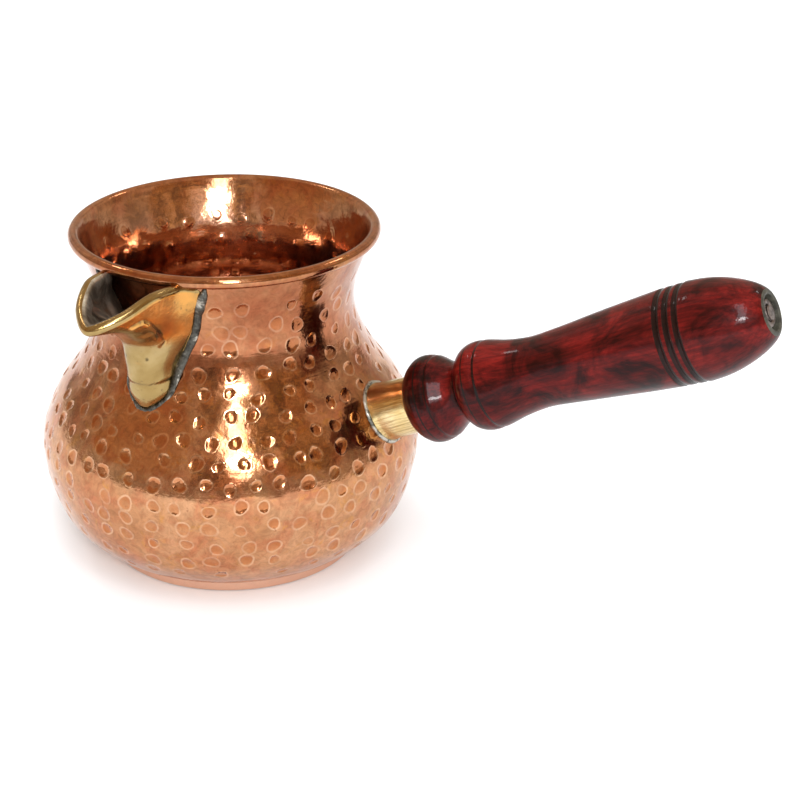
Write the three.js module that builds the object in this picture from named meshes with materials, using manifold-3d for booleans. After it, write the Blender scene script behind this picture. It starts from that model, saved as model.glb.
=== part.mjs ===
// A hammered copper coffee pot with a brass spout and a turned wooden handle held by a tie rod.
// Millimetres, +Z up. The origin is the centre of the flat base. The handle rises along +X and the
// spout points close to -Y.

import * as THREE from "three";
import { mergeVertices } from "three/addons/utils/BufferGeometryUtils.js";
import Module from "manifold-3d";

const wasm = await Module();
wasm.setup();

// ---- Driving dimensions ----

const SHEET = 0.8; // thickness of the copper
const GAP = 0.3; // clearance between pieces that touch
const ROUND = 48; // segments round the pot

const FOOT_RADIUS = 35.4;
const FOOT_HEIGHT = 3;
// Outside of the pot above the foot, as [radius, height]: belly, shoulder, neck and flare.
const WALL = [
  [39.0, 4.5],
  [43.4, 8],
  [48.35, 14],
  [52.1, 26],
  [52.7, 34],
  [50.9, 41],
  [47.2, 48.5],
  [41.6, 56],
  [37.3, 64],
  [35.1, 72],
  [35.9, 80],
  [38.0, 86],
  [39.8, 90.4],
];
const MOUTH_RADIUS = 42.5; // outside of the rolled edge
const HEIGHT = 94.5; // top of the rolled edge
const ROLL = 1.6; // radius of the rolled edge's section
const ROLL_END = THREE.MathUtils.degToRad(-105); // where the edge stops curling under
const RIM_WIRE = 0.5; // radius of the wire inside the roll

const SPOUT_TURN = THREE.MathUtils.degToRad(-94.7); // from the handle to the spout, about +Z
const SPOUT_WALL = 1.4;
const POUR_HOLE = { halfWidth: 6.2, low: 69.5, high: 85.5 };
const SOLDER = 1.3; // how far solder reaches past a joint

const HANDLE_RISE = THREE.MathUtils.degToRad(23.9);
const HANDLE_HEIGHT = 25.8; // where the handle's axis meets the pot's axis
const FERRULE = { start: 44, end: 62.9, base: 8.4, front: 7.7, wall: 1 };
const PLUG = { start: 55.5, end: 57.5, radius: 6.6 };
const TENON = { start: 57.9, radius: 6.2 };
const ROD = { start: 55.6, end: 166.6, radius: 2 };
const BORE = 2.4; // radius of the hole through the handle
const WASHER = { start: 163.4, thick: 0.6, radius: 4.4 };
const NUT = { start: 164.3, thick: 1.8, acrossFlats: 7 };
const RECESS = { start: 163.1, radius: 4.7 };
// Outside of the turned handle, as [radius, distance along the axis].
const TURNING = [
  [8.4, 63.3],
  [9.6, 64.1],
  [10.9, 65.3],
  [11.7, 66.5],
  [12, 67.8],
  [11.9, 69.4],
  [11.4, 71.2],
  [10.1, 73.4],
  [9.0, 75.2],
  [8.4, 76.8],
  [8.4, 78.2],
  [8.9, 79.5],
  [10.4, 80.6],
  [11.3, 81.7],
  [11.9, 83.1],
  [12.1, 84.7],
  [12, 86.6],
  [11.5, 89],
  [10.7, 92.5],
  [9.9, 97],
  [9.6, 101.5],
  [10, 108],
  [11, 119],
  [12, 130],
  [12.7, 139],
  [12.2, 140.6],
  [12.8, 142],
  [12.3, 143.4],
  [12.9, 144.7],
  [12.4, 146.1],
  [12.9, 147.6],
  [12.7, 151.5],
  [11.9, 155.5],
  [10.6, 159.5],
  [9, 163],
  [7.6, 165.2],
  [6.2, 166.6],
  [5.3, 167],
];

// ---- Materials ----

function metal(color, roughness) {
  return new THREE.MeshStandardMaterial({ color, roughness, metalness: 1 });
}
const COPPER = metal("#c4744a", 0.25);
const BRASS = metal("#c9a95c", 0.25);
const SOLDER_GREY = metal("#6f6f6c", 0.5);
const STEEL = metal("#8d8d8a", 0.4);
const LACQUERED_WOOD = new THREE.MeshStandardMaterial({ color: "#5e0f0c", roughness: 0.2 });

// ---- Helpers ----

function toSolid(geometry) {
  const bare = geometry.clone();
  bare.deleteAttribute("normal");
  bare.deleteAttribute("uv");
  const merged = mergeVertices(bare, 1e-4);
  return new wasm.Manifold(
    new wasm.Mesh({
      numProp: 3,
      vertProperties: merged.attributes.position.array,
      triVerts: new Uint32Array(merged.index.array),
    }),
  );
}

function toMesh(name, solid, material) {
  const { vertProperties, triVerts } = solid.getMesh();
  const geometry = new THREE.BufferGeometry();
  geometry.setAttribute("position", new THREE.BufferAttribute(vertProperties, 3));
  geometry.setIndex(new THREE.BufferAttribute(triVerts, 1));
  geometry.computeVertexNormals();
  return namedMesh(name, geometry, material);
}

function namedMesh(name, geometry, material) {
  const mesh = new THREE.Mesh(geometry, material);
  mesh.name = name;
  return mesh;
}

// A body of revolution about +Z. The profile runs up the outside, then back down the inside.
function turned(profile, segments) {
  const points = profile.map(([radius, height]) => new THREE.Vector2(radius, height));
  return new THREE.LatheGeometry(points, segments).rotateX(Math.PI / 2);
}

// A tube about +Z between two heights, with its own outer radius at each end.
function tube(inner, base, front, start, end, segments) {
  const profile = [
    [base, start],
    [front, end],
    [inner[1], end],
    [inner[0], start],
    [base, start],
  ];
  return turned(profile, segments);
}

// Points of a profile moved outward along its normal.
function offsetProfile(points, distance) {
  return points.map((point, i) => {
    const before = points[Math.max(i - 1, 0)];
    const after = points[Math.min(i + 1, points.length - 1)];
    const along = new THREE.Vector2(after[0] - before[0], after[1] - before[1]).normalize();
    return [point[0] + along.y * distance, point[1] - along.x * distance];
  });
}

function arc(centre, radius, from, to, steps) {
  return Array.from({ length: steps + 1 }, (_, i) => {
    const angle = from + ((to - from) * i) / steps;
    return [centre[0] + radius * Math.cos(angle), centre[1] + radius * Math.sin(angle)];
  });
}

// ---- The pot ----

const ROLL_CENTRE = [MOUTH_RADIUS - ROLL, HEIGHT - ROLL];
const wallCurve = new THREE.SplineCurve(WALL.map(([r, z]) => new THREE.Vector2(r, z)));
const wallPoints = wallCurve.getPoints(20).map((p) => [p.x, p.y]);
const wallSteps = wallCurve.getPoints(200);

// Outer radius of the pot's wall at a height.
function wallRadius(height) {
  const above = Math.max(
    1,
    wallSteps.findIndex((p) => p.y >= height),
  );
  const [low, high] = [wallSteps[above - 1], wallSteps[above]];
  return THREE.MathUtils.mapLinear(height, low.y, high.y, low.x, high.x);
}

// The whole pot's outer form grown by a distance, as one solid block that trims what is joined to it.
function potForm(grown) {
  return toSolid(
    turned(
      [
        [0, -grown],
        [FOOT_RADIUS + grown, -grown],
        [FOOT_RADIUS + grown, FOOT_HEIGHT - grown],
        ...offsetProfile(wallPoints, grown),
        ...arc(ROLL_CENTRE, ROLL + grown, -Math.PI / 2, Math.PI / 2, 8),
        [0, HEIGHT + grown],
      ],
      ROUND,
    ),
  );
}

function pourHole() {
  const { halfWidth, low, high } = POUR_HOLE;
  const outline = new THREE.Shape();
  outline.absarc(0, high - halfWidth, halfWidth, 0, Math.PI);
  outline.absarc(0, low + halfWidth, halfWidth, Math.PI, 2 * Math.PI);
  const reach = 14;
  const cutter = new THREE.ExtrudeGeometry(outline, {
    depth: reach,
    bevelEnabled: false,
    curveSegments: 10,
  });
  cutter.rotateX(Math.PI / 2);
  cutter.translate(0, -wallRadius(low) + 0.3 * reach, 0);
  return cutter.rotateZ(SPOUT_TURN + Math.PI / 2);
}

function potBody() {
  const rollInside = arc(ROLL_CENTRE, ROLL - SHEET, Math.PI, ROLL_END, 8);
  const rollOutside = arc(ROLL_CENTRE, ROLL, ROLL_END, Math.PI, 10);
  const shell = turned(
    [
      [0, 0],
      [FOOT_RADIUS, 0],
      [FOOT_RADIUS, FOOT_HEIGHT],
      ...wallPoints,
      ...rollInside,
      ...rollOutside,
      ...offsetProfile(wallPoints, -SHEET).reverse(),
      [FOOT_RADIUS - SHEET, FOOT_HEIGHT + SHEET],
      [FOOT_RADIUS - SHEET, SHEET],
      [0, SHEET],
    ],
    ROUND,
  );
  return toMesh("pot_body", toSolid(shell).subtract(toSolid(pourHole())), COPPER);
}

function rimWire() {
  const wire = new THREE.TorusGeometry(ROLL_CENTRE[0], RIM_WIRE, 8, ROUND);
  wire.translate(0, 0, ROLL_CENTRE[1]);
  return namedMesh("rim_wire", wire, STEEL);
}

// ---- The spout ----

// Half sections of the spout from the tail up to the lip. Each runs from the pot's wall to the nose,
// as [distance from the pot's axis, distance from the spout's middle plane, height].
const SECTIONS = [
  [
    [38, 2.4, 54.2],
    [39.4, 2.3, 54.7],
    [40.6, 1.8, 55.1],
    [41.4, 1, 55.4],
    [41.6, 0, 55.5],
  ],
  [
    [37, 6.4, 60.5],
    [39.8, 5.6, 60.3],
    [41.8, 4.2, 60.1],
    [42.9, 2.3, 60],
    [43.3, 0, 60],
  ],
  [
    [33, 7.6, 68],
    [37.6, 6.6, 68],
    [41.2, 5.4, 68],
    [43.5, 3.2, 68],
    [44.2, 0, 68],
  ],
  [
    [31.5, 12.4, 77.4],
    [37.6, 9.4, 77],
    [41.8, 6.6, 76.4],
    [44.8, 4, 75.6],
    [45.8, 0, 75.4],
  ],
  [
    [32.5, 14.8, 83],
    [39.7, 11, 83.4],
    [46, 9.2, 82.8],
    [51.2, 6.2, 81.6],
    [53, 0, 81.4],
  ],
  [
    [33.5, 18, 88.2],
    [40.2, 12.8, 90.4],
    [49.4, 11.2, 91],
    [59, 7, 87.4],
    [64, 0, 84.6],
  ],
];
const SECTION_STEPS = 8;
const SPOUT_LEVELS = 16;

// A point of the spout's outer surface: up is 0 at the tail and 1 at the lip, around is 0 at the
// wall on one side, 1/2 at the nose and 1 at the wall on the other side.
function spoutPoint(up, around) {
  const rails = SECTIONS[0].map((_, k) => {
    const rail = new THREE.CatmullRomCurve3(SECTIONS.map((section) => new THREE.Vector3(...section[k])));
    return rail.getPoint(up);
  });
  const mirrored = rails.slice(0, -1).reverse();
  const across = [...rails, ...mirrored.map((p) => new THREE.Vector3(p.x, -p.y, p.z))];
  return new THREE.CatmullRomCurve3(across).getPoint(around);
}

// The spout's outer form moved outward by a distance and filled solid, from inside the pot to the
// nose, with its top raised above the lip by another distance.
function spoutForm(grown, raised) {
  const columns = 2 * SECTION_STEPS + 1;
  const nudge = 1e-3;
  const rows = [];
  for (let level = 0; level <= SPOUT_LEVELS; level++) {
    const up = level / SPOUT_LEVELS;
    const row = [];
    for (let column = 0; column < columns; column++) {
      const around = column / (columns - 1);
      const alongUp = spoutPoint(Math.min(up + nudge, 1), around);
      alongUp.sub(spoutPoint(Math.max(up - nudge, 0), around));
      const alongAround = spoutPoint(up, Math.min(around + nudge, 1));
      alongAround.sub(spoutPoint(up, Math.max(around - nudge, 0)));
      const normal = alongUp.cross(alongAround).normalize();
      row.push(spoutPoint(up, around).addScaledVector(normal, grown));
    }
    rows.push(row);
  }
  if (raised > 0) rows.push(rows.at(-1).map((p) => p.clone().setZ(p.z + raised)));
  return closedStack(rows).rotateZ(SPOUT_TURN);
}

// A closed solid through rows of points: the rows' ends are joined across the back, and the first
// and last rows are capped by strips between their two halves.
function closedStack(rows) {
  const columns = rows[0].length;
  const points = rows.flat();
  const index = [];
  const at = (row, column) => row * columns + (column % columns);
  for (let row = 0; row + 1 < rows.length; row++) {
    for (let column = 0; column < columns; column++) {
      const [a, b] = [at(row, column), at(row, column + 1)];
      const [c, d] = [at(row + 1, column), at(row + 1, column + 1)];
      index.push(a, d, b, a, c, d);
    }
  }
  const last = rows.length - 1;
  for (let i = 0; 2 * i + 2 < columns; i++) {
    const [left, leftNext] = [i, i + 1];
    const [right, rightNext] = [columns - 1 - i, columns - 2 - i];
    index.push(left, leftNext, right);
    index.push(at(last, left), at(last, right), at(last, leftNext));
    if (leftNext !== rightNext) {
      index.push(leftNext, rightNext, right);
      index.push(at(last, leftNext), at(last, right), at(last, rightNext));
    }
  }
  const geometry = new THREE.BufferGeometry().setFromPoints(points);
  return geometry.setIndex(index);
}

function spout() {
  const hollow = toSolid(spoutForm(-SPOUT_WALL, 8));
  const beak = toSolid(spoutForm(0, 0)).subtract(hollow).subtract(potForm(GAP));
  return toMesh("spout", beak, BRASS);
}

// A fillet of solder round the joint between the pot and something fixed to it.
function solderRound(name, formOf) {
  const skin = potForm(GAP + SOLDER).subtract(potForm(GAP));
  const around = formOf(GAP + SOLDER).subtract(formOf(GAP));
  return toMesh(name, skin.intersect(around), SOLDER_GREY);
}

// ---- The handle ----

// Places a piece turned about +Z on the handle's axis.
const handleMatrix = new THREE.Matrix4()
  .makeTranslation(0, 0, HANDLE_HEIGHT)
  .multiply(new THREE.Matrix4().makeRotationY(Math.PI / 2 - HANDLE_RISE));

// The ferrule's outer form grown by a distance, as a solid block.
function ferruleForm(grown) {
  const { start, end, base, front } = FERRULE;
  const block = turned(
    [
      [0, start],
      [base + grown, start],
      [front + grown, end],
      [0, end],
    ],
    32,
  );
  return toSolid(block.applyMatrix4(handleMatrix));
}

function ferrule() {
  const { start, end, base, front, wall } = FERRULE;
  const sleeve = tube([base - wall, front - wall], base, front, start, end, 32);
  const trimmed = toSolid(sleeve.applyMatrix4(handleMatrix)).subtract(potForm(GAP));
  return toMesh("ferrule", trimmed, BRASS);
}

function anchorPlug() {
  const { start, end, radius } = PLUG;
  const hole = ROD.radius + GAP;
  return namedMesh("anchor_plug", tube([hole, hole], radius, radius, start, end, 24), BRASS);
}

function tieRod() {
  const { start, end, radius } = ROD;
  const rod = turned(
    [
      [0, start],
      [radius, start],
      [radius, end],
      [0, end],
    ],
    16,
  );
  return namedMesh("tie_rod", rod, STEEL);
}

function handleGrip() {
  const butt = TURNING.at(-1)[1];
  const profile = [
    [BORE, TENON.start],
    [TENON.radius, TENON.start],
    [TENON.radius, TURNING[0][1]],
    ...TURNING,
    [RECESS.radius, butt],
    [RECESS.radius, RECESS.start],
    [BORE, RECESS.start],
    [BORE, TENON.start],
  ];
  return namedMesh("handle_grip", turned(profile, 36), LACQUERED_WOOD);
}

function buttWasher() {
  const { start, thick, radius } = WASHER;
  const hole = ROD.radius + GAP;
  return namedMesh("butt_washer", tube([hole, hole], radius, radius, start, start + thick, 24), STEEL);
}

function buttNut() {
  const corner = NUT.acrossFlats / Math.sqrt(3);
  const outline = new THREE.Shape();
  for (let i = 0; i < 6; i++) {
    const angle = (i * Math.PI) / 3;
    const [x, y] = [corner * Math.cos(angle), corner * Math.sin(angle)];
    if (i === 0) outline.moveTo(x, y);
    else outline.lineTo(x, y);
  }
  outline.closePath();
  outline.holes.push(new THREE.Path().absarc(0, 0, ROD.radius + GAP, 0, 2 * Math.PI, true));
  const nut = new THREE.ExtrudeGeometry(outline, {
    depth: NUT.thick,
    bevelEnabled: false,
    curveSegments: 16,
  });
  return namedMesh("butt_nut", nut.translate(0, 0, NUT.start), STEEL);
}

// ---- Assembly ----

const handle = new THREE.Group();
handle.applyMatrix4(handleMatrix);
handle.add(anchorPlug(), tieRod(), handleGrip(), buttWasher(), buttNut());

const cezve = new THREE.Group();
cezve.add(potBody(), rimWire(), spout(), ferrule(), handle);
cezve.add(solderRound("spout_solder", (grown) => toSolid(spoutForm(grown, 0))));
cezve.add(solderRound("ferrule_solder", ferruleForm));

export default cezve;
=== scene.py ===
"""Looks of a hammered copper coffee pot with a brass spout and a turned wooden handle.

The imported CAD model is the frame. Each visible piece is rebuilt here in the same place, with hammer
marks, solder beads and turned grooves in its mesh, and a procedural material.
"""

import math

import bpy
import numpy as np
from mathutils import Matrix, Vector

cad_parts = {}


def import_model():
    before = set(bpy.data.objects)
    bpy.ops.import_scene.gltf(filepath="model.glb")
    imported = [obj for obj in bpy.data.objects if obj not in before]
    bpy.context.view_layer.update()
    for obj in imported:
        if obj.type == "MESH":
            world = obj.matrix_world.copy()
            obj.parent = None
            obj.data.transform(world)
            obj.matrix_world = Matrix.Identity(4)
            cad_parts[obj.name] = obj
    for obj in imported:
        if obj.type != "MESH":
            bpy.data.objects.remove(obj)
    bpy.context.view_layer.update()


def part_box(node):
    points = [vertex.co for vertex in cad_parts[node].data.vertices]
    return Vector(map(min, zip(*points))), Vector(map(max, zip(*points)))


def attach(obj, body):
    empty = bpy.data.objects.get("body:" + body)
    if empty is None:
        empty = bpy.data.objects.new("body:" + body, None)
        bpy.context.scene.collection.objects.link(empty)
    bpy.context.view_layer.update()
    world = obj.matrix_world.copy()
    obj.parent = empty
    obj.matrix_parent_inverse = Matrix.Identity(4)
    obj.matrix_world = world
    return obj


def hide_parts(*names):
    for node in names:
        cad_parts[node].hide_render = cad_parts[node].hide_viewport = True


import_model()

MM = 0.001

# ---- Sizes in millimetres, as in the CAD model ----

SHEET = 0.8
FOOT_RADIUS = 35.4
# Outside of the pot above the foot, as (radius, height).
WALL = [
    (39.0, 4.5), (43.4, 8), (48.35, 14), (52.1, 26), (52.7, 34), (50.9, 41), (47.2, 48.5),
    (41.6, 56), (37.3, 64), (35.1, 72), (35.9, 80), (38.0, 86), (39.8, 90.4),
]
ROLL = 1.6
RIM_WIRE = 0.5
ROLL_END = math.radians(-105)
POT_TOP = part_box("pot_body")[1].z / MM
ROLL_CENTRE = (42.5 - ROLL, POT_TOP - ROLL)

HAMMER_RADIUS = 1.95
HAMMER_ROW = 6.0
HAMMER_DEPTH = 0.3
HAMMER_SEED = 7
HAMMER_TOP = 83  # height of the highest row of marks
MARK_FLOOR = 0.4  # a mark's flat middle and its outer edge, as shares of its radius
MARK_EDGE = 1.05
INNER_MARKS = 1.1

SPOUT_TURN = math.radians(-94.7)
SPOUT_WALL = 1.3
LIP_THICKNESS = 3.0
POUR_HALF_WIDTH = 6.2
POUR_LOW = 69.5
POUR_HIGH = 85.5

HANDLE_RISE = math.radians(23.9)
HANDLE_HEIGHT = 25.8
FERRULE_BASE = 8.4
FERRULE_FRONT = 7.7
FERRULE_WALL = 1.0
FERRULE_END = 62.9
TENON_START = 57.9
TENON_RADIUS = 6.2
BORE = 2.4
BUTT = 167.0
RECESS_START = 163.1
RECESS_RADIUS = 4.7
ROD_RADIUS = 2.0

# Half sections of the spout from the tail up to the lip, each from the pot's wall to the nose, as
# (distance from the pot's axis, distance from the spout's middle plane, height).
SECTIONS = np.array([
    [(38, 2.4, 54.2), (39.4, 2.3, 54.7), (40.6, 1.8, 55.1), (41.4, 1, 55.4), (41.6, 0, 55.5)],
    [(37, 6.4, 60.5), (39.8, 5.6, 60.3), (41.8, 4.2, 60.1), (42.9, 2.3, 60), (43.3, 0, 60)],
    [(33, 7.6, 68), (37.6, 6.6, 68), (41.2, 5.4, 68), (43.5, 3.2, 68), (44.2, 0, 68)],
    [(31.5, 12.4, 77.4), (37.6, 9.4, 77), (41.8, 6.6, 76.4), (44.8, 4, 75.6), (45.8, 0, 75.4)],
    [(32.5, 14.8, 83), (39.7, 11, 83.4), (46, 9.2, 82.8), (51.2, 6.2, 81.6), (53, 0, 81.4)],
    [(33.5, 18, 88.2), (40.2, 12.8, 90.4), (49.4, 11.2, 91), (59, 7, 87.4), (64, 0, 84.6)],
], float)

# The fold under the lip, the middle of the hollow that it goes round, and small casting pits, which
# are drawn only as dots of painted shade, in the same three measures.
ARCH = np.array([(54.9, 7.5, 85.4), (54.2, 8.1, 85.9), (52.3, 8.8, 86.1), (49.7, 8.9, 84.6), (46.2, 8.4, 81.5),
                 (42.8, 7.0, 78.0), (41.2, 6.7, 75.7)])
ARCH_MIDDLE = np.array([49.5, 6.6, 80.6])
PITS = [(43.9, 3.3, 71.3), (49.6, 7.1, 81.4)]
STEP_HEIGHT = 63.6

# Outside of the turned handle, as (radius, distance along its axis). A corner ends each smooth run.
TURNED_RUNS = [
    [(7.9, 63.2), (9.0, 63.5), (10.2, 64.4), (11.1, 65.5), (11.75, 66.7), (12.0, 67.9), (11.95, 69.2),
     (11.6, 70.7)],
    [(11.1, 71.3), (11.2, 71.9), (10.6, 72.9), (9.6, 74.4), (8.8, 75.7), (8.35, 76.9), (8.3, 78.2),
     (8.6, 79.2), (8.9, 79.6)],
    [(9.5, 79.7), (10.3, 80.2), (11.1, 81.1), (11.7, 82.3), (12.05, 83.8), (12.1, 85.2), (12.0, 86.1)],
    [(11.6, 86.6), (11.85, 87.2), (11.7, 88.4), (11.2, 90.5), (10.6, 93), (9.95, 97), (9.6, 101.5),
     (10.0, 108), (11.0, 119), (12.0, 130), (12.7, 139), (12.75, 139.85)],
    [(12.05, 140.6), (12.75, 141.35), (12.8, 142.0), (12.8, 142.65)],
    [(12.1, 143.4), (12.85, 144.15), (12.9, 144.8), (12.9, 145.35)],
    [(12.2, 146.1), (12.95, 146.85), (12.95, 148.5), (12.6, 152), (11.9, 155.5), (10.6, 159.5),
     (9.0, 163.0), (7.6, 165.2), (6.6, 166.3), (5.9, 166.8), (5.3, 167.0)],
]


# ---- Curves ----

def catmull(points, t):
    """A smooth curve through points[k] at t from 0 to 1. points is (K, ..., 3) and t broadcasts over
    the middle axes; the knots are centripetal."""
    count = len(points)
    place = np.clip(np.asarray(t, float), 0, 1) * (count - 1)
    span = np.minimum(place.astype(int), count - 2)
    u = (place - span)[..., None]

    def at(k):
        k = np.clip(k, -1, count)
        low = 2 * points[0] - points[1]
        high = 2 * points[-1] - points[-2]
        padded = np.concatenate([low[None], points, high[None]])
        if padded.ndim == 2:
            return padded[k + 1]
        return padded[k + 1, np.arange(padded.shape[1])]

    p0, p1, p2, p3 = at(span - 1), at(span), at(span + 1), at(span + 2)

    def gap(a, b):
        return np.maximum(np.linalg.norm(b - a, axis=-1, keepdims=True), 1e-6) ** 0.5

    g0, g1, g2 = gap(p0, p1), gap(p1, p2), gap(p2, p3)
    m1 = (p1 - p0) / g0 - (p2 - p0) / (g0 + g1) + (p2 - p1) / g1
    m2 = (p2 - p1) / g1 - (p3 - p1) / (g1 + g2) + (p3 - p2) / g2
    m1, m2 = m1 * g1, m2 * g1
    u2, u3 = u * u, u * u * u
    return ((2 * u3 - 3 * u2 + 1) * p1 + (u3 - 2 * u2 + u) * m1
            + (-2 * u3 + 3 * u2) * p2 + (u3 - u2) * m2)


def sampled(points, step):
    """Points about step apart along a smooth curve through 2D stations."""
    stations = np.array([(a, b, 0.0) for a, b in points])
    fine = catmull(stations, np.linspace(0, 1, 60 * len(stations)))[:, :2]
    length = np.concatenate([[0], np.cumsum(np.linalg.norm(np.diff(fine, axis=0), axis=1))])
    count = max(2, int(round(length[-1] / step)) + 1)
    where = np.linspace(0, length[-1], count)
    return np.stack([np.interp(where, length, fine[:, k]) for k in (0, 1)], 1)


def arc(centre, radius, start, end, steps):
    angle = np.linspace(start, end, steps + 1)
    return np.stack([centre[0] + radius * np.cos(angle), centre[1] + radius * np.sin(angle)], 1)


def profile_normals(points):
    """Unit normals to the right of the way along an open 2D profile."""
    along = np.gradient(points, axis=0)
    along /= np.linalg.norm(along, axis=1, keepdims=True)
    return np.stack([along[:, 1], -along[:, 0]], 1)


WALL_FINE = sampled(WALL, 0.05)
WALL_LENGTH = np.concatenate([[0], np.cumsum(np.linalg.norm(np.diff(WALL_FINE, axis=0), axis=1))])
WALL_NORMALS = profile_normals(WALL_FINE)


def wall_radius(z):
    return np.interp(z, WALL_FINE[:, 1], WALL_FINE[:, 0])


def wall_at(s):
    """Radius, height and normal of the pot's outside at a distance s up its wall."""
    r, z = (np.interp(s, WALL_LENGTH, WALL_FINE[:, k]) for k in (0, 1))
    nr, nz = (np.interp(s, WALL_LENGTH, WALL_NORMALS[:, k]) for k in (0, 1))
    size = np.hypot(nr, nz)
    return r, z, nr / size, nz / size


def body_depth(points):
    """How far points are outside the pot's wall, measured level. Points are (..., 3) in millimetres."""
    return np.hypot(points[..., 0], points[..., 1]) - wall_radius(points[..., 2])


def smoothstep(low, high, x):
    t = np.clip((x - low) / (high - low), 0, 1)
    return t * t * (3 - 2 * t)


# ---- Mesh helpers ----

def make_object(name, vertices, faces, material, node, normals=None, material_index=None, attributes=None):
    """A smooth-shaded mesh object, vertices in millimetres, that rides on the root body and stands
    for a CAD node."""
    mesh = bpy.data.meshes.new(name)
    mesh.from_pydata((np.asarray(vertices) * MM).tolist(), [], faces)
    for m in material if isinstance(material, list) else [material]:
        mesh.materials.append(m)
    if material_index is not None:
        mesh.polygons.foreach_set("material_index", material_index)
    mesh.polygons.foreach_set("use_smooth", [True] * len(mesh.polygons))
    if normals is not None:
        mesh.normals_split_custom_set_from_vertices(normals)
    for key, values in (attributes or {}).items():
        mesh.attributes.new(key, "FLOAT", "POINT").data.foreach_set("value", values)
    mesh.update()
    obj = bpy.data.objects.new(name, mesh)
    bpy.context.scene.collection.objects.link(obj)
    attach(obj, "root")
    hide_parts(node)
    return obj


def grid_faces(rows, columns, wrap_rows=False, wrap_columns=False, start=0):
    """Quads between the rows of a grid of vertices, row by row."""
    faces = []
    for i in range(rows if wrap_rows else rows - 1):
        below, above = i * columns + start, ((i + 1) % rows) * columns + start
        for j in range(columns if wrap_columns else columns - 1):
            k = (j + 1) % columns
            faces.append((below + j, below + k, above + k, above + j))
    return faces


def ring_points(profile, angles):
    """Vertices of a body of revolution about +Z: one ring for each (radius, height)."""
    radius = profile[:, 0][:, None]
    x = radius * np.cos(angles)
    y = radius * np.sin(angles)
    z = np.broadcast_to(profile[:, 1][:, None], x.shape)
    return np.stack([x, y, z], -1)


def on_handle(points):
    """Points given about +Z, moved onto the handle's axis."""
    c, s = math.cos(HANDLE_RISE), math.sin(HANDLE_RISE)
    x, y, t = points[..., 0], points[..., 1], points[..., 2]
    return np.stack([x * s + t * c, y, HANDLE_HEIGHT - x * c + t * s], -1)


def turned_spout(points):
    """Points given with the spout along +X, turned to where the spout is."""
    c, s = math.cos(SPOUT_TURN), math.sin(SPOUT_TURN)
    x, y = points[..., 0], points[..., 1]
    return np.stack([c * x - s * y, s * x + c * y, points[..., 2]], -1)


def unit(v):
    return v / np.maximum(np.linalg.norm(v, axis=-1, keepdims=True), 1e-9)


# ---- Materials ----

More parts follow.
